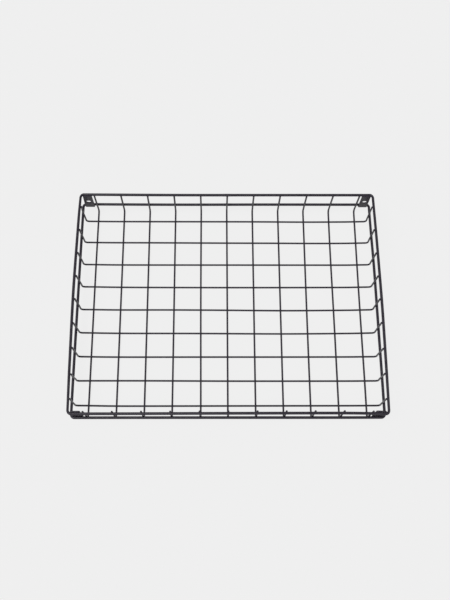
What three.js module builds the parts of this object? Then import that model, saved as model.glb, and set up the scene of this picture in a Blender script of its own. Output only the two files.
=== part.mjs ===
// A shallow ball tray of welded wire. Two thick rim wires, one above the other, go round the outside.
// Thinner wires cross on the floor, turn up at the walls and are welded to the inside of both rims.
// Four drilled plates bridge the rims beside the corners, so that the tray can be bolted to a stand.
// Millimetres, +Z up, +X along the tray, -Y towards the front, origin under the middle of the floor.
import * as THREE from "three";

// Driving sizes
const LENGTH = 600; // over the outside of the rims, along X
const DEPTH = 450; // over the outside of the rims, along Y
const HEIGHT = 75; // underside of the floor to the top of the upper rim
const RIM_WIRE = 5; // diameter of the rim wires
const MESH_WIRE = 3.2; // diameter of the floor and wall wires
const LOWER_RIM_HEIGHT = 28; // underside of the floor to the middle of the lower rim
const RIM_CORNER_INSIDE = 4.5; // inside radius of a rim's corners
const MESH_BEND_INSIDE = 4.4; // inside radius where a mesh wire turns up
const LONG_WIRE_COUNT = 9;
const LONG_WIRE_MARGIN = 27.3; // middle of the front or back rim to the nearest long wire
const CROSS_WIRE_COUNT = 11;
const WIRE_END_DROP = 1.5; // top of the upper rim down to the cut ends of the mesh wires
const BRACKET_HOLE = 10; // diameter of the bolt hole, an easy fit for an 8 mm bolt
const BRACKET_EDGE = 4.5; // metal left on each side of the bolt hole
const BRACKET_THICKNESS = 2;
const BRACKET_CORNER = 2; // radius of the plate's four corners
const BRACKET_DROP = 0.5; // top of the upper rim down to the top of a bracket
const BRACKET_HANG = 2; // middle of the lower rim down to the lower edge of a bracket
const BRACKET_WIRE_GAP = 3.7; // edge of a bracket to the nearest cross wire
const BRACKET_BEND_REACH = 1.8; // start of the rims' bend to the outer edge of a bracket
const WELD_GAP = 0.1; // between two faces that are welded together

// Facets
const WIRE_SIDES = 12; // a multiple of four, so that flats face up, down, in and out
const RIM_BEND_STEPS = 6;
const MESH_BEND_STEPS = 5;
const HOLE_SEGMENTS = 24;
const PLATE_CORNER_SEGMENTS = 2; // an arc is drawn with twice as many

// Finish: black powder coat on steel
const RIM_COLOUR = "#2b2830";
const MESH_COLOUR = "#26232b";
const BRACKET_COLOUR = "#343139";
const COAT_ROUGHNESS = 0.5;
const COAT_METALNESS = 0;

// Places that follow from the driving sizes
const rimRadius = RIM_WIRE / 2;
const rimHalfLength = LENGTH / 2 - rimRadius;
const rimHalfDepth = DEPTH / 2 - rimRadius;
const rimCornerRadius = RIM_CORNER_INSIDE + rimRadius;
const upperRimZ = HEIGHT - rimRadius;
const rimSeat = rimRadius + WELD_GAP; // middle of a rim to what is welded inside it

const meshRadius = MESH_WIRE / 2;
const meshBendRadius = MESH_BEND_INSIDE + meshRadius;
const wallInset = rimSeat + meshRadius;
const wireTopZ = HEIGHT - WIRE_END_DROP;
const longWireZ = meshRadius;
const crossWireZ = longWireZ + MESH_WIRE + WELD_GAP;

const bracketWidth = BRACKET_HOLE + 2 * BRACKET_EDGE;
const bracketBottomZ = LOWER_RIM_HEIGHT - BRACKET_HANG;
const bracketHeight = HEIGHT - BRACKET_DROP - bracketBottomZ;
const bracketX = rimHalfLength - rimCornerRadius + BRACKET_BEND_REACH - bracketWidth / 2;
// The outer edge of a bracket touches the inside of the bend, whose facets lie nearest at their middles.
const bendInside = RIM_CORNER_INSIDE * Math.cos(Math.PI / (4 * RIM_BEND_STEPS));
const bendSeat = Math.sqrt(bendInside ** 2 - BRACKET_BEND_REACH ** 2) - WELD_GAP;
const bracketOuterY = rimHalfDepth - rimCornerRadius + bendSeat;

const longWireReach = rimHalfDepth - LONG_WIRE_MARGIN; // outermost long wires, from the middle
const crossWireReach = bracketX - bracketWidth / 2 - BRACKET_WIRE_GAP - meshRadius;

// The centre line of a bent wire: straight runs with a round right-angled bend at each corner point.
// Its stations lie only at the ends and round the bends, because a straight run needs no others.
class WirePath extends THREE.Curve {
  constructor(corners, bendRadius, bendSteps, closed) {
    super();
    this.stations = [];
    const count = corners.length;
    const heading = (from, to) => corners[to].clone().sub(corners[from]).normalize();
    if (!closed) this.stations.push({ point: corners[0], tangent: heading(0, 1) });
    for (let i = closed ? 0 : 1; i < (closed ? count : count - 1); i++) {
      const inward = heading((i + count - 1) % count, i);
      const outward = heading(i, (i + 1) % count);
      this.addBend(corners[i], inward, outward, bendRadius, bendSteps);
    }
    if (closed) this.stations.push(this.stations[0]);
    else this.stations.push({ point: corners[count - 1], tangent: heading(count - 2, count - 1) });
  }

  // A quarter circle that leaves the run along inward and joins the run along outward.
  addBend(corner, inward, outward, radius, steps) {
    const centre = corner.clone().addScaledVector(inward, -radius).addScaledVector(outward, radius);
    for (let step = 0; step <= steps; step++) {
      const angle = (step / steps) * (Math.PI / 2);
      const along = Math.sin(angle);
      const across = Math.cos(angle);
      const point = centre
        .clone()
        .addScaledVector(inward, radius * along)
        .addScaledVector(outward, -radius * across);
      const tangent = inward.clone().multiplyScalar(across).addScaledVector(outward, along);
      this.stations.push({ point, tangent });
    }
  }

  get steps() {
    return this.stations.length - 1;
  }

  stationAt(u) {
    return this.stations[Math.round(u * this.steps)];
  }

  getPoint(u, target = new THREE.Vector3()) {
    return target.copy(this.stationAt(u).point);
  }

  getPointAt(u, target) {
    return this.getPoint(u, target);
  }

  getTangentAt(u, target = new THREE.Vector3()) {
    return target.copy(this.stationAt(u).tangent);
  }
}

// A wire's round section as a polygon whose flats, not corners, lie at the wire's radius.
function wireSection(radius) {
  const halfStep = Math.PI / WIRE_SIDES;
  const cornerRadius = radius / Math.cos(halfStep);
  const points = [];
  for (let side = 0; side < WIRE_SIDES; side++) {
    const angle = (2 * side + 1) * halfStep;
    points.push(new THREE.Vector2(cornerRadius * Math.cos(angle), cornerRadius * Math.sin(angle)));
  }
  return new THREE.Shape(points);
}

function sweep(section, path) {
  return new THREE.ExtrudeGeometry(section, { steps: path.steps, extrudePath: path });
}

// A closed loop has no ends, so only the side faces of its sweep are kept.
function sweepLoop(section, path) {
  const swept = sweep(section, path);
  const sides = swept.groups.find((group) => group.materialIndex === 1);
  const positions = swept.getAttribute("position");
  const first = sides.start * positions.itemSize;
  const last = first + sides.count * positions.itemSize;
  const kept = new THREE.BufferAttribute(positions.array.slice(first, last), positions.itemSize);
  const loop = new THREE.BufferGeometry().setAttribute("position", kept);
  loop.computeVertexNormals();
  return loop;
}

function rimGeometry() {
  const corners = [
    new THREE.Vector3(-rimHalfLength, -rimHalfDepth, 0),
    new THREE.Vector3(rimHalfLength, -rimHalfDepth, 0),
    new THREE.Vector3(rimHalfLength, rimHalfDepth, 0),
    new THREE.Vector3(-rimHalfLength, rimHalfDepth, 0),
  ];
  return sweepLoop(wireSection(rimRadius), new WirePath(corners, rimCornerRadius, RIM_BEND_STEPS, true));
}

// A mesh wire: down one wall, across the floor at floorZ and up the other wall.
function meshWireGeometry(direction, wallDistance, floorZ) {
  const corner = (side, z) => direction.clone().multiplyScalar(side * wallDistance).setZ(z);
  const corners = [corner(-1, wireTopZ), corner(-1, floorZ), corner(1, floorZ), corner(1, wireTopZ)];
  return sweep(wireSection(meshRadius), new WirePath(corners, meshBendRadius, MESH_BEND_STEPS, false));
}

// An upright plate with rounded corners and a bolt hole, centred on X, its lower edge at local Y = 0.
function bracketGeometry() {
  const side = bracketWidth / 2;
  const corner = BRACKET_CORNER;
  const quarter = Math.PI / 2;
  const plate = new THREE.Shape();
  plate.absarc(side - corner, corner, corner, -quarter, 0);
  plate.absarc(side - corner, bracketHeight - corner, corner, 0, quarter);
  plate.absarc(corner - side, bracketHeight - corner, corner, quarter, 2 * quarter);
  plate.absarc(corner - side, corner, corner, 2 * quarter, 3 * quarter);
  const holeRadius = BRACKET_HOLE / 2;
  const hole = new THREE.EllipseCurve(0, bracketHeight / 2, holeRadius, holeRadius);
  plate.holes.push(new THREE.Path(hole.getPoints(HOLE_SEGMENTS)));
  return new THREE.ExtrudeGeometry(plate, {
    depth: BRACKET_THICKNESS,
    bevelEnabled: false,
    curveSegments: PLATE_CORNER_SEGMENTS,
  });
}

function addPiece(parent, name, geometry, color) {
  const material = new THREE.MeshStandardMaterial({
    color,
    roughness: COAT_ROUGHNESS,
    metalness: COAT_METALNESS,
  });
  const piece = new THREE.Mesh(geometry, material);
  piece.name = name;
  parent.add(piece);
  return piece;
}

// Evenly spaced places from -reach to reach
function spread(count, reach) {
  return Array.from({ length: count }, (_, i) => -reach + (2 * reach * i) / (count - 1));
}

function makeRims() {
  const rims = new THREE.Group();
  const geometry = rimGeometry();
  addPiece(rims, "upper_rim", geometry, RIM_COLOUR).position.z = upperRimZ;
  addPiece(rims, "lower_rim", geometry, RIM_COLOUR).position.z = LOWER_RIM_HEIGHT;
  return rims;
}

// Long wires run along X under the cross wires, which run along Y.
function makeMesh() {
  const mesh = new THREE.Group();
  const alongX = new THREE.Vector3(1, 0, 0);
  const alongY = new THREE.Vector3(0, 1, 0);
  const longWire = meshWireGeometry(alongX, rimHalfLength - wallInset, longWireZ);
  const crossWire = meshWireGeometry(alongY, rimHalfDepth - wallInset, crossWireZ);
  spread(LONG_WIRE_COUNT, longWireReach).forEach((y, i) => {
    addPiece(mesh, `long_wire_${i + 1}`, longWire, MESH_COLOUR).position.y = y;
  });
  spread(CROSS_WIRE_COUNT, crossWireReach).forEach((x, i) => {
    addPiece(mesh, `cross_wire_${i + 1}`, crossWire, MESH_COLOUR).position.x = x;
  });
  return mesh;
}

// The plates stand on edge inside the front and back rims, pushed up to the corners.
function makeBrackets() {
  const brackets = new THREE.Group();
  const geometry = bracketGeometry();
  const frontY = BRACKET_THICKNESS - bracketOuterY;
  const backY = bracketOuterY;
  const places = [
    ["front_left_bracket", -bracketX, frontY],
    ["front_right_bracket", bracketX, frontY],
    ["back_left_bracket", -bracketX, backY],
    ["back_right_bracket", bracketX, backY],
  ];
  for (const [name, x, y] of places) {
    const bracket = addPiece(brackets, name, geometry, BRACKET_COLOUR);
    bracket.rotation.x = Math.PI / 2;
    bracket.position.set(x, y, bracketBottomZ);
  }
  return brackets;
}

const ballTray = new THREE.Group();
ballTray.add(makeRims(), makeMesh(), makeBrackets());

export default ballTray;
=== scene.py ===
import math

import bpy
import numpy as np
from mathutils import Matrix, Vector


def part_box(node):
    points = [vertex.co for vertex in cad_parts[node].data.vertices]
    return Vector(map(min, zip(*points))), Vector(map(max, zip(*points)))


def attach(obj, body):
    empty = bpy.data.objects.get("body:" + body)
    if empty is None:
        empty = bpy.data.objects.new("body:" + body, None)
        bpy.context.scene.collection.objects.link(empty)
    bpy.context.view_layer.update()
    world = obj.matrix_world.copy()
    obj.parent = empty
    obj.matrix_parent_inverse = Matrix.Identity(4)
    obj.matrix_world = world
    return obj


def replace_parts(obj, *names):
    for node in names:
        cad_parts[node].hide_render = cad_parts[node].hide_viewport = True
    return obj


# Ball basket of welded wire, dressed over its CAD frame. Metres, +Z up, front wall towards -Y.
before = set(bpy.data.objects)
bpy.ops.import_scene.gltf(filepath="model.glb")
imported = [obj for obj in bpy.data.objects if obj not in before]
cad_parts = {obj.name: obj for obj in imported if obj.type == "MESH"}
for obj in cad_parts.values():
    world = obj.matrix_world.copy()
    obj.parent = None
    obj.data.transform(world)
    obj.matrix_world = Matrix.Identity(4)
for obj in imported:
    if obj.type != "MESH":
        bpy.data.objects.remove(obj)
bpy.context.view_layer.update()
mm = 0.001
print("frame loaded:", len(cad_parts), "nodes")


# Camera, solved on the crossings of the wire grid
cameraSettings = {
    "place": (-26.6, -482.1, 1478.4),  # mm
    "pitchDown": 71.149,               # degrees below the horizon
    "yaw": -2.518,
    "roll": 2.388,
    "focalPixels": 769.7,
    "longSidePixels": 600,
    "sensor": 36.0,                    # mm along the image's long side
}


def makeCamera(settings):
    data = bpy.data.cameras.new("viewCamera")
    data.sensor_width = settings["sensor"]
    data.lens = settings["focalPixels"] / settings["longSidePixels"] * settings["sensor"]
    camera = bpy.data.objects.new("viewCamera", data)
    bpy.context.scene.collection.objects.link(camera)
    # turned about the vertical, then tilted up from straight down, then rolled about the line of sight
    turn = (Matrix.Rotation(math.radians(settings["yaw"]), 4, "Z")
            @ Matrix.Rotation(math.radians(90 - settings["pitchDown"]), 4, "X")
            @ Matrix.Rotation(math.radians(settings["roll"]), 4, "Z"))
    camera.matrix_world = Matrix.Translation(Vector(settings["place"]) * mm) @ turn
    bpy.context.scene.camera = camera
    print("camera: lens", round(data.lens, 2), "mm")


makeCamera(cameraSettings)


def hexToLinear(code):
    # sRGB to linear: the dark end is a straight line, the rest a 2.4 power curve
    srgb = np.array([int(code[i:i + 2], 16) for i in (1, 3, 5)]) / 255
    linear = np.where(srgb <= 0.04045, srgb / 12.92, ((srgb + 0.055) / 1.055) ** 2.4)
    return (*linear.tolist(), 1.0)


def addNode(tree, kind, inputs=None, **settings):
    # one node with its settings; an input given as a socket is linked, any other is set
    node = tree.nodes.new(kind)
    for key, value in settings.items():
        setattr(node, key, value)
    for key, value in (inputs or {}).items():
        if isinstance(value, bpy.types.NodeSocket):
            tree.links.new(value, node.inputs[key])
        else:
            node.inputs[key].default_value = value
    return node


def newMaterial(name):
    # a material with an empty node tree
    material = bpy.data.materials.new(name)
    material.use_nodes = True
    material.node_tree.nodes.clear()
    return material, material.node_tree


# Satin black polyester powder coat, sprayed dry on steel wire and baked. The powder melts and flows, so the
# eye gets an even soft black with a broad dull sheen, a faint orange-peel ripple, and slight clouding where
# the film is thicker.
coatSettings = {
    "film": 0.2,                 # mm, stands outside the steel that the frame gives
    "thin": "#1e1a25",
    "thick": "#2d2931",
    "cloudSize": 14.0,           # mm, patches of thicker film
    "cloudDetail": 3.0,          # octaves of finer noise, here and below
    "peelSize": 1.1,             # mm, orange peel
    "peelDetail": 1.5,
    "peelShare": 0.45,           # how much of the film's thickness follows the peel, not the patches
    "peelHeight": 0.06,          # mm; peel and grit are drawn deeper than the real ones, so that they show
    "gritSize": 0.35,            # mm, grains that melted last
    "gritDetail": 0.0,
    "gritHeight": 0.014,         # mm
    "noiseSpan": (0.35, 0.65),   # noise at the thinnest and at the thickest film
    "roughness": (0.30, 0.40),   # thin film, thick film
    "ior": 1.3,
}


def makePowderCoat(settings):
    material, tree = newMaterial("satinBlackPowderCoat")
    place = addNode(tree, "ShaderNodeTexCoord").outputs["Object"]
    noise = {}
    for layer in ("cloud", "peel", "grit"):
        layerNode = addNode(tree, "ShaderNodeTexNoise",
                            {"Vector": place, "Scale": 1 / (settings[layer + "Size"] * mm),
                             "Detail": settings[layer + "Detail"]})
        noise[layer] = layerNode.outputs["Fac"]
    # how thick the film is, from 0 to 1: the patches mixed with the peel
    depth = addNode(tree, "ShaderNodeMix", {0: settings["peelShare"], 2: noise["cloud"], 3: noise["peel"]})
    thinnest, thickest = settings["noiseSpan"]
    thickness = addNode(tree, "ShaderNodeMapRange",
                        {"Value": depth.outputs[0], "From Min": thinnest, "From Max": thickest})
    colour = addNode(tree, "ShaderNodeMix",
                     {0: thickness.outputs["Result"], 6: hexToLinear(settings["thin"]),
                      7: hexToLinear(settings["thick"])}, data_type="RGBA")
    sheen = addNode(tree, "ShaderNodeMapRange",
                    {"Value": thickness.outputs["Result"], "To Min": settings["roughness"][0],
                     "To Max": settings["roughness"][1]})
    grains = addNode(tree, "ShaderNodeBump",
                     {"Height": noise["grit"], "Strength": 1.0, "Distance": settings["gritHeight"] * mm})
    ripple = addNode(tree, "ShaderNodeBump",
                     {"Height": noise["peel"], "Strength": 1.0, "Distance": settings["peelHeight"] * mm,
                      "Normal": grains.outputs["Normal"]})
    shader = addNode(tree, "ShaderNodeBsdfPrincipled",
                     {"Base Color": colour.outputs[2], "Roughness": sheen.outputs["Result"],
                      "IOR": settings["ior"], "Normal": ripple.outputs["Normal"]})
    addNode(tree, "ShaderNodeOutputMaterial", {"Surface": shader.outputs["BSDF"]})
    return material


powderCoat = makePowderCoat(coatSettings)
film = coatSettings["film"] * mm
print("material:", powderCoat.name)


# No welded basket is dead true. Each push moves everything round one place, all in mm.
pushes = [
    {"at": (-300, 0, 75), "reach": (14, 400, 22), "by": (1.1, 0, 0)},      # upper rim, left run: drawn in
    {"at": (-300, 15, 75), "reach": (14, 125, 22), "by": (-2.2, 0, 0)},    # and bowed out in the middle
    {"at": (300, 0, 75), "reach": (14, 400, 22), "by": (-0.6, 0, 0)},      # upper rim, right run: the same
    {"at": (300, -15, 75), "reach": (14, 95, 22), "by": (1.1, 0, 0)},
    {"at": (300, 230, 50), "reach": (14, 80, 80), "by": (-2.0, 0, 0)},     # back right corner of both rims
    {"at": (-300, 0, 28), "reach": (14, 400, 14), "by": (0.45, 0, 0)},     # lower rim, left run
    {"at": (-110, 222, 50), "reach": (150, 14, 60), "by": (0, -0.9, 0)},   # back wall, left of the middle
    {"at": (100, 222, 75), "reach": (200, 14, 20), "by": (0, -0.5, 0)},    # upper rim, back run
    {"at": (-240, -222, 75), "reach": (200, 14, 22), "by": (0, -0.45, 0)},  # upper rim, front run
    {"at": (290, -222, 75), "reach": (50, 14, 22), "by": (0, -1.1, 0)},
    {"at": (-260, -222, 28), "reach": (200, 14, 20), "by": (0, 0.3, 0)},   # lower rim, front run
    {"at": (240, -222, 28), "reach": (180, 14, 20), "by": (0, -0.45, 0)},
    {"at": (-53.6, -230, 0), "reach": (14, 180, 60), "by": (1.4, 0, 0)},   # cross wires that stand askew
    {"at": (160.8, -80, 0), "reach": (14, 260, 60), "by": (-0.8, 0, 0)},
    {"at": (214.4, 130, 0), "reach": (14, 110, 60), "by": (-0.8, 0, 0)},
    {"at": (-200, -146.4, 0), "reach": (160, 14, 30), "by": (0, 1.2, 0)},  # long wires that do
    {"at": (-200, 146.4, 0), "reach": (160, 14, 30), "by": (0, 0.8, 0)},
    {"at": (-40, 48.8, 0), "reach": (140, 14, 30), "by": (0, -0.5, 0)},
    {"at": (120, -15, 0), "reach": (110, 55, 30), "by": (0, -1.3, 0)},
    {"at": (-290, 0, 0), "reach": (55, 130, 25), "by": (0, 1.2, 0)},
    {"at": (-304, -235, 75), "reach": (12, 60, 22), "by": (1.9, 0, 0)},    # upper rim, three corners
    {"at": (304, -235, 75), "reach": (12, 60, 22), "by": (-1.3, 0, 0)},
    {"at": (-304, 240, 75), "reach": (12, 45, 22), "by": (2.0, 0, 0)},
    {"at": (304, -226, 75), "reach": (18, 14, 22), "by": (0, -1.2, 0)},
    {"at": (-304, -235, 28), "reach": (12, 60, 14), "by": (0.7, 0, 0)},    # lower rim, front left corner
    {"at": (-290, -195.2, 0), "reach": (50, 14, 30), "by": (0, 1.2, 0)},   # front long wire, left end
    {"at": (294, -146, 8), "reach": (20, 70, 16), "by": (0.8, 0, 0)},      # feet of the end walls
    {"at": (-294, 195, 8), "reach": (20, 30, 16), "by": (0.6, 0, 0)},
    {"at": (292, 90, 0), "reach": (28, 260, 25), "by": (0, 0.95, 0)},
    {"at": (-292, 150, 0), "reach": (26, 90, 25), "by": (0, 0.55, 0)},
    {"at": (-292, -80, 0), "reach": (26, 40, 25), "by": (0, 0.5, 0)},
    {"at": (160, 195.2, 0), "reach": (70, 14, 30), "by": (0, -0.55, 0)},   # slight bows of the floor's wires
    {"at": (-135, 0, 0), "reach": (90, 14, 30), "by": (0, 0.45, 0)},
    {"at": (60, -48.8, 0), "reach": (170, 14, 30), "by": (0, -0.4, 0)},
    {"at": (180, 146.4, 0), "reach": (60, 14, 30), "by": (0, -0.4, 0)},
    {"at": (268, 60, 0), "reach": (14, 150, 60), "by": (-0.4, 0, 0)},
    {"at": (-268, 60, 0), "reach": (14, 150, 60), "by": (-0.35, 0, 0)},
    {"at": (300, 150, 28), "reach": (14, 50, 14), "by": (-0.6, 0, 0)},     # lower rim, right run
]
# Uprights of the end walls whose tops lean, by long wire: mm along Y on the left and on the right
leans = {1: (0, -1.1), 2: (-2.4, -2.1), 3: (-0.3, -2.6), 4: (-0.6, 0), 5: (-0.4, -1.0), 6: (-1.8, -2.4),
         7: (-2.3, -2.7), 8: (-1.4, -1.3)}
leanSettings = {"wallAt": 294, "topAt": 75, "reach": (12, 14, 42)}  # mm
for wire, tops in leans.items():
    y = np.mean(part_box(f"long_wire_{wire}"), axis=0)[1] / mm
    for side, top in zip((-1, 1), tops):
        pushes.append({"at": (side * leanSettings["wallAt"], y, leanSettings["topAt"]),
                       "reach": leanSettings["reach"], "by": (0, top, 0)})


def outOfTrue(points):
    # each push fades with distance from its place as a bell curve, so wires, welds and plates stay together
    moved = points.copy()
    for push in pushes:
        away = (points / mm - push["at"]) / push["reach"]
        moved += np.exp(-(away ** 2).sum(axis=-1, keepdims=True)) * np.array(push["by"]) * mm
    return moved


def addSurface(name, patches, loop, poles=None):
    # patches: blocks x rows x columns x 3. Columns close into rings. Rows close too when loop is set, and
    # otherwise the first and last ring of each block run to that block's two poles.
    blocks, rows, columns, _ = patches.shape
    index = np.arange(blocks * rows * columns).reshape(blocks, rows, columns)
    below = index if loop else index[:, :-1]
    above = np.roll(index, -1, axis=1) if loop else index[:, 1:]
    quads = np.stack([below, np.roll(below, -1, axis=2), np.roll(above, -1, axis=2), above], axis=-1)
    points = patches.reshape(-1, 3)
    corners = quads.reshape(-1)
    sizes = np.full(quads.size // 4, 4)
    if not loop:
        first = len(points) + np.arange(blocks)[:, None] + np.zeros((1, columns), int)
        start = np.stack([first, np.roll(index[:, 0], -1, axis=1), index[:, 0]], axis=-1)
        end = np.stack([first + blocks, index[:, -1], np.roll(index[:, -1], -1, axis=1)], axis=-1)
        points = np.concatenate([points, poles[:, 0], poles[:, 1]])
        corners = np.concatenate([corners, start.reshape(-1), end.reshape(-1)])
        sizes = np.concatenate([sizes, np.full(2 * blocks * columns, 3)])
    mesh = bpy.data.meshes.new(name)
    mesh.vertices.add(len(points))
    mesh.vertices.foreach_set("co", outOfTrue(points).astype(np.float32).ravel())
    mesh.loops.add(len(corners))
    mesh.loops.foreach_set("vertex_index", corners.astype(np.int32))
    mesh.polygons.add(len(sizes))
    mesh.polygons.foreach_set("loop_start", (np.cumsum(sizes) - sizes).astype(np.int32))
    mesh.update(calc_edges=True)
    mesh.shade_smooth()
    mesh.materials.append(powderCoat)
    piece = bpy.data.objects.new(name, mesh)
    bpy.context.scene.collection.objects.link(piece)
    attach(piece, "root")
    return piece


def bentPath(corners, bendRadius, runSteps, bendSteps, loop):
    # straight runs between corner points, and at each corner a quarter circle whose centre lies one radius
    # inside both runs; gives the points and the unit tangents
    corners = np.array(corners, float)
    count = len(corners)
    ahead = np.roll(corners, -1, axis=0) - corners
    ahead /= np.linalg.norm(ahead, axis=1, keepdims=True)
    behind = np.roll(ahead, 1, axis=0)
    angle = np.linspace(0, math.pi / 2, bendSteps + 1)[:, None]
    arcs, headings = [], []
    for i in range(count):
        if loop or 0 < i < count - 1:
            centre = corners[i] + bendRadius * (ahead[i] - behind[i])
            arcs.append(centre + bendRadius * (np.sin(angle) * behind[i] - np.cos(angle) * ahead[i]))
            headings.append(np.cos(angle) * behind[i] + np.sin(angle) * ahead[i])
        else:
            arcs.append(corners[i:i + 1])
            headings.append((ahead if i == 0 else behind)[i:i + 1])
    points, tangents = [], []
    share = np.linspace(0, 1, runSteps + 1)[1:-1, None]
    for i in range(count):
        points.append(arcs[i])
        tangents.append(headings[i])
        if loop or i < count - 1:
            start, end = arcs[i][-1], arcs[(i + 1) % count][0]
            points.append(start + share * (end - start))
            tangents.append(np.repeat(ahead[i:i + 1], len(share), axis=0))
    return np.concatenate(points), np.concatenate(tangents)


def sweepRound(points, tangents, planeNormal, radii, sides):
    # a circle carried along a flat path: path point + radius x (cos a across the path + sin a off its plane)
    angle = np.linspace(0, 2 * math.pi, sides, endpoint=False)[:, None]
    across = np.cross(planeNormal, tangents)[:, None]
    ring = np.cos(angle) * across + np.sin(angle) * np.array(planeNormal, float)
    return points[:, None] + np.reshape(radii, (-1, 1, 1)) * ring


def middleOf(node):
    # both corners of a node's box, and the point halfway between them
    low, high = (np.array(corner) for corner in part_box(node))
    return low, high, (low + high) / 2


# Rims: thick wire bent into a rectangle, its two ends butt welded in the middle of the back run
rimSettings = {
    "cornerRadius": 7.0,   # mm, to the middle of the wire
    "buttHeight": 0.12,    # mm, what is left of the weld's flash
    "buttLength": 1.6,     # mm
    "runSteps": 48,
    "bendSteps": 12,
    "sides": 28,
}


def makeRim(name, node, settings):
    low, high, middle = middleOf(node)
    radius = (high[2] - low[2]) / 2
    x, y = high[0] - radius, high[1] - radius
    corners = [(-x, -y, middle[2]), (x, -y, middle[2]), (x, y, middle[2]), (-x, y, middle[2])]
    points, tangents = bentPath(corners, settings["cornerRadius"] * mm, settings["runSteps"],
                                settings["bendSteps"], True)
    # the flash stands up as a bell curve along the back run, and nowhere else
    fromButt = np.where(points[:, 1] > 0, points[:, 0], np.inf) / (settings["buttLength"] * mm)
    radii = radius + film + settings["buttHeight"] * mm * np.exp(-fromButt ** 2)
    rings = sweepRound(points, tangents, (0, 0, 1), radii, settings["sides"])
    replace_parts(addSurface(name, rings[None], True), node)


makeRim("bent_upper_rim", "upper_rim", rimSettings)
makeRim("bent_lower_rim", "lower_rim", rimSettings)
print("rims: 2")


# Mesh wires: down one wall, across the floor and up the other, with sheared ends that the coat has rounded
wireSettings = {
    "bendRadius": 6.0,     # mm, to the middle of the wire
    "setDown": 0.6,        # mm, how far welding pressed the uprights into the rims
    "endRound": 0.5,       # mm, edge of a cut end
    "endSteps": 4,
    "runSteps": 30,
    "bendSteps": 9,
    "sides": 18,
}


def makeMeshWire(name, node, axis, settings):
    side = 1 - axis                       # the wire runs along one of X and Y and is narrow in the other
    low, high, middle = middleOf(node)
    radius = (high[side] - low[side]) / 2
    reach = high[axis] - radius + settings["setDown"] * mm
    corners = np.tile(middle, (4, 1))
    corners[:, axis] = (-reach, -reach, reach, reach)
    corners[:, 2] = (high[2] + film, low[2] + radius, low[2] + radius, high[2] + film)
    points, tangents = bentPath(corners, settings["bendRadius"] * mm, settings["runSteps"],
                                settings["bendSteps"], False)
    # a cut end's edge is a quarter circle: e (1 - sin t) back from the end, the radius e (1 - cos t) less
    turn = np.linspace(math.pi / 2, 0, settings["endSteps"] + 1)
    edge = settings["endRound"] * mm
    back = edge * (1 - np.sin(turn))[:, None]
    coated = radius + film
    radii = coated - edge * (1 - np.cos(turn))
    poles = np.stack([points[0], points[-1]])[None]
    start = points[0] + back * tangents[0]
    end = points[-1] - back[::-1] * tangents[-1]
    points = np.concatenate([start, points[1:-1], end])
    tangents = np.concatenate([np.repeat(tangents[:1], len(turn), axis=0), tangents[1:-1],
                               np.repeat(tangents[-1:], len(turn), axis=0)])
    radii = np.concatenate([radii, np.full(len(points) - 2 * len(turn), coated), radii[::-1]])
    rings = sweepRound(points, tangents, np.eye(3)[side], radii, settings["sides"])
    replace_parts(addSurface(name, rings[None], False, poles), node)


longCount, crossCount = 9, 11
longWires = [f"long_wire_{i + 1}" for i in range(longCount)]
crossWires = [f"cross_wire_{i + 1}" for i in range(crossCount)]
for node in longWires:
    makeMeshWire("coated_" + node, node, 0, wireSettings)
for node in crossWires:
    makeMeshWire("coated_" + node, node, 1, wireSettings)
print("mesh wires:", len(longWires), "long,", len(crossWires), "cross")


# Plates: punched from sheet with a round bolt hole, their sheared edges rounded by the coat
plateSettings = {
    "holeRadius": 5.0,     # mm, kept clear of the coat by a plug
    "cornerRadius": 2.0,   # mm
    "edgeRound": 0.3,      # mm
    "edgeBand": 0.25,      # mm, keeps the shading of the flat faces flat
    "edgeSteps": 3,
    "cornerSteps": 6,
    "sideSteps": (28, 12),  # along a long and a short side
}


def plateOutline(width, height, settings):
    # a rounded rectangle, side by side: points where rays at even angles from the middle meet the side, then
    # a quarter circle; gives the points and the outward normals
    radius = settings["cornerRadius"] * mm
    points, normals = [], []
    for side in range(4):
        out = np.array([(1, 0), (0, 1), (-1, 0), (0, -1)][side], float)
        along = np.array([-out[1], out[0]])
        far, run = (width / 2, height / 2) if side % 2 == 0 else (height / 2, width / 2)
        widest = math.atan2(run - radius, far)
        ray = np.linspace(-widest, widest, settings["sideSteps"][side % 2] + 1)[:, None]
        points.append(far * out + far * np.tan(ray) * along)
        normals.append(np.repeat(out[None], len(ray), axis=0))
        turn = np.linspace(0, math.pi / 2, settings["cornerSteps"] + 1)[1:-1, None]
        arc = np.cos(turn) * out + np.sin(turn) * along
        points.append((far - radius) * out + (run - radius) * along + radius * arc)
        normals.append(arc)
    return np.concatenate(points), np.concatenate(normals)


def makePlate(name, node, settings):
    low, high, middle = middleOf(node)
    width, thickness, height = high - low + 2 * film
    outline, outward = plateOutline(width, height, settings)
    fromHole = outline / np.linalg.norm(outline, axis=1, keepdims=True)
    edge = settings["edgeRound"] * mm
    inset = edge + settings["edgeBand"] * mm
    hole = settings["holeRadius"] * mm
    face = thickness / 2
    # the section goes out over one face, round the outer edge, back over the other and through the hole, and
    # its rounded edges are quarter circles: e (1 - cos t) in from the rim, e (1 - sin t) below the face
    turn = np.linspace(0, math.pi / 2, settings["edgeSteps"] + 1)
    rounds = [(edge * (1 - math.cos(t)), face - edge * (1 - math.sin(t))) for t in turn]
    section = [(fromHole * (hole + into), level) for into, level in rounds]
    section.append((fromHole * (hole + inset), face))
    section.append((outline - outward * inset, face))
    section += [(outline - outward * into, level) for into, level in rounds[::-1]]
    section += [(flat, -level) for flat, level in section[::-1]]
    flats = np.stack([flat for flat, level in section], axis=1)
    levels = np.broadcast_to([level for flat, level in section], flats.shape[:2])
    points = middle + np.stack([flats[..., 0], -levels, flats[..., 1]], axis=-1)
    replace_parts(addSurface(name, points[None], True), node)


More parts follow.
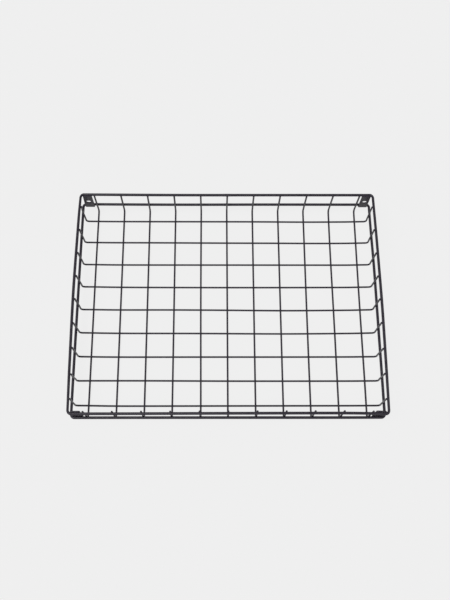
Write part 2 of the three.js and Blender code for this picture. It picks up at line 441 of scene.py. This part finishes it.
plates = ["front_left_bracket", "front_right_bracket", "back_left_bracket", "back_right_bracket"]
for node in plates:
    makePlate("drilled_" + node, node, plateSettings)
print("plates:", len(plates))


# Welds: where two wires were pressed together and fused, the coat bridges the notch with a hollow fillet
weldSettings = {
    "wrap": 1.15,      # mm, foot of the fillet across each wire
    "toe": 1.55,       # mm, foot along each wire
    "hollow": 0.16,    # how far the waist draws in
    "sink": 0.05,      # mm, the feet lie this deep in the wires
    "root": 0.9,       # mm, depth of the closing points
    "spread": 0.12,    # how far one weld differs from the next
    "seed": 7,
    "sides": 12,
    "rows": 4,
    "plateSpots": 4.5,     # mm, a spot on each side of a plate's middle line
    "plateRadius": 1000,   # mm, a plate is welded as a wire of huge radius
}
weldDice = np.random.default_rng(weldSettings["seed"])


def makeWelds(name, places, normal, axisOne, radiusOne, radiusTwo, press, settings):
    # two round members meet at right angles, the second on the normal's side of the first, each pressed past
    # the middle of the weld by press. The foot on each is an ellipse, long along that member and laid on its
    # surface. The fillet joins the feet in straight lines that draw in towards the weld's middle by
    # 4 t (1 - t) x hollow.
    places = np.array(places, float)
    count = len(places)
    normal, axisOne = (np.broadcast_to(v, (count, 3))[:, None] for v in (normal, axisOne))
    axisTwo = np.cross(normal, axisOne)   # this order keeps the faces outward
    size = 1 + settings["spread"] * weldDice.uniform(-1, 1, (count, 1, 1))
    wrap, toe = settings["wrap"] * mm * size, settings["toe"] * mm * size
    angle = np.linspace(0, 2 * math.pi, settings["sides"], endpoint=False)[None, :, None]
    cos, sin = np.cos(angle), np.sin(angle)
    depth = settings["sink"] * mm - press
    dropOne = radiusOne - np.sqrt(radiusOne ** 2 - (wrap * sin) ** 2) + depth
    dropTwo = radiusTwo - np.sqrt(radiusTwo ** 2 - (wrap * cos) ** 2) + depth
    footOne = toe * cos * axisOne + wrap * sin * axisTwo - dropOne * normal
    footTwo = wrap * cos * axisOne + toe * sin * axisTwo + dropTwo * normal
    share = np.linspace(0, 1, settings["rows"])[None, :, None, None]
    waist = 1 - settings["hollow"] * 4 * share * (1 - share)
    fillet = waist * ((1 - share) * footOne[:, None] + share * footTwo[:, None])
    root = settings["root"] * mm * normal[:, 0]
    poles = np.stack([places - root, places + root], axis=1)
    addSurface(name, places[:, None, None] + fillet, False, poles)
    print(name + ":", count)


def weldFloor(settings):
    # the weld's middle lies halfway between the top of the long wires and the underside of the cross wires
    under, over = longHigh[1] - longLow[1] + longLow[2], crossLow[2]
    press = (under - over) / 2 + film
    places = [(x, y, (under + over) / 2) for x in alongXs for y in alongYs]
    makeWelds("floor_welds", places, axisZ, axisX, coatedWire, coatedWire, press, settings)


def weldRim(label, settings):
    low, high, middle = middleOf(label + "_rim")
    rimRadius = (high[2] - low[2]) / 2
    coatedRim = rimRadius + film
    inside = high - 2 * rimRadius
    # uprights, pressed into the rim by as much as they are set down
    press = (longHigh[0] + wireSettings["setDown"] * mm - inside[0]) / 2
    ends = [(side * (inside[0] + press), y, middle[2]) for side in (-1, 1) for y in alongYs]
    makeWelds(label + "_end_welds", ends, -np.sign(ends) * axisX, axisY, coatedRim, coatedWire,
              press + film, settings)
    walls = [(x, side * (inside[1] + press), middle[2]) for side in (-1, 1) for x in alongXs]
    makeWelds(label + "_wall_welds", walls, -np.sign(walls) * axisY, axisX, coatedRim, coatedWire,
              press + film, settings)
    # plates, which touch the bends and stand a little off the straight runs
    step = settings["plateSpots"] * mm
    spots = []
    for node in plates:
        plateLow, plateHigh, plate = middleOf(node)
        outer = abs(plate[1]) + (plateHigh[1] - plateLow[1]) / 2
        face = math.copysign((outer + inside[1]) / 2, plate[1])
        spots += [(plate[0] - step, face, middle[2]), (plate[0] + step, face, middle[2])]
    apart = (inside[1] - outer) / 2   # the same at every plate
    makeWelds(label + "_plate_welds", spots, -np.sign(spots) * axisY, axisX, coatedRim,
              settings["plateRadius"] * mm, film - apart, settings)


axisX, axisY, axisZ = np.eye(3)
longLow, longHigh, _ = middleOf(longWires[0])
crossLow, _, _ = middleOf(crossWires[0])
coatedWire = (longHigh[1] - longLow[1]) / 2 + film
alongYs = [middleOf(node)[2][1] for node in longWires]
alongXs = [middleOf(node)[2][0] for node in crossWires]
weldFloor(weldSettings)
weldRim("upper", weldSettings)
weldRim("lower", weldSettings)


# Light: a pale studio with an even surround, and a broad soft key overhead, a little to the front and left
lightSettings = {
    "paper": "#efefef",
    "surround": 0.3,
    "key": 2.4,                       # watts per square metre
    "keyFrom": (-0.30, -0.20, 0.93),  # direction of the key
    "keyAngle": 36.0,                 # degrees across
    "floorSize": 40.0,                # metres
    "floorShadow": 0.06,              # share of the true shadow that is seen
}


def seenRays(tree):
    # 1 for a ray that shows the surface to the eye, straight or in a reflection, and 0 for one that lights
    rays = addNode(tree, "ShaderNodeLightPath").outputs
    seen = rays["Is Camera Ray"]
    for kind in ("Is Glossy Ray", "Is Transmission Ray"):
        seen = addNode(tree, "ShaderNodeMath", {0: seen, 1: rays[kind]}, operation="MAXIMUM").outputs[0]
    return seen


def makeWorld(settings):
    # the surround lights the object, and the eye sees paper all round
    world = bpy.data.worlds.new("paleStudio")
    world.use_nodes = True
    bpy.context.scene.world = world
    tree = world.node_tree
    tree.nodes.clear()
    fill = addNode(tree, "ShaderNodeBackground", {"Color": (1, 1, 1, 1), "Strength": settings["surround"]})
    backdrop = addNode(tree, "ShaderNodeBackground",
                       {"Color": hexToLinear(settings["paper"]), "Strength": 1.0})
    mix = addNode(tree, "ShaderNodeMixShader",
                  {0: seenRays(tree), 1: fill.outputs[0], 2: backdrop.outputs[0]})
    addNode(tree, "ShaderNodeOutputWorld", {"Surface": mix.outputs[0]})


def makeKey(settings):
    # a sun that shines against the direction it comes from
    lamp = bpy.data.lights.new("softKey", "SUN")
    lamp.energy = settings["key"]
    lamp.angle = math.radians(settings["keyAngle"])
    key = bpy.data.objects.new("softKey", lamp)
    key.rotation_euler = (-Vector(settings["keyFrom"])).to_track_quat("-Z", "Y").to_euler()
    bpy.context.scene.collection.objects.link(key)


def makeFloor(settings):
    # a square just under the coat, seen at its paper colour less a share of the shadow that falls on it
    material, tree = newMaterial("palePaperFloor")
    paper = hexToLinear(settings["paper"])
    even = addNode(tree, "ShaderNodeMath", {0: seenRays(tree), 1: 1 - settings["floorShadow"]},
                   operation="MULTIPLY")
    matte = addNode(tree, "ShaderNodeBsdfDiffuse", {"Color": paper})
    glow = addNode(tree, "ShaderNodeEmission", {"Color": paper, "Strength": 1.0})
    mix = addNode(tree, "ShaderNodeMixShader",
                  {0: even.outputs[0], 1: matte.outputs[0], 2: glow.outputs[0]})
    addNode(tree, "ShaderNodeOutputMaterial", {"Surface": mix.outputs[0]})
    half = settings["floorSize"] / 2
    mesh = bpy.data.meshes.new("paperFloor")
    corners = [(-half, -half, -film), (half, -half, -film), (half, half, -film), (-half, half, -film)]
    mesh.from_pydata(corners, [], [(0, 1, 2, 3)])
    mesh.materials.append(material)
    floor = bpy.data.objects.new("paperFloor", mesh)
    bpy.context.scene.collection.objects.link(floor)


bpy.context.scene.view_settings.view_transform = "Standard"
makeWorld(lightSettings)
makeKey(lightSettings)
makeFloor(lightSettings)
print("studio lit")
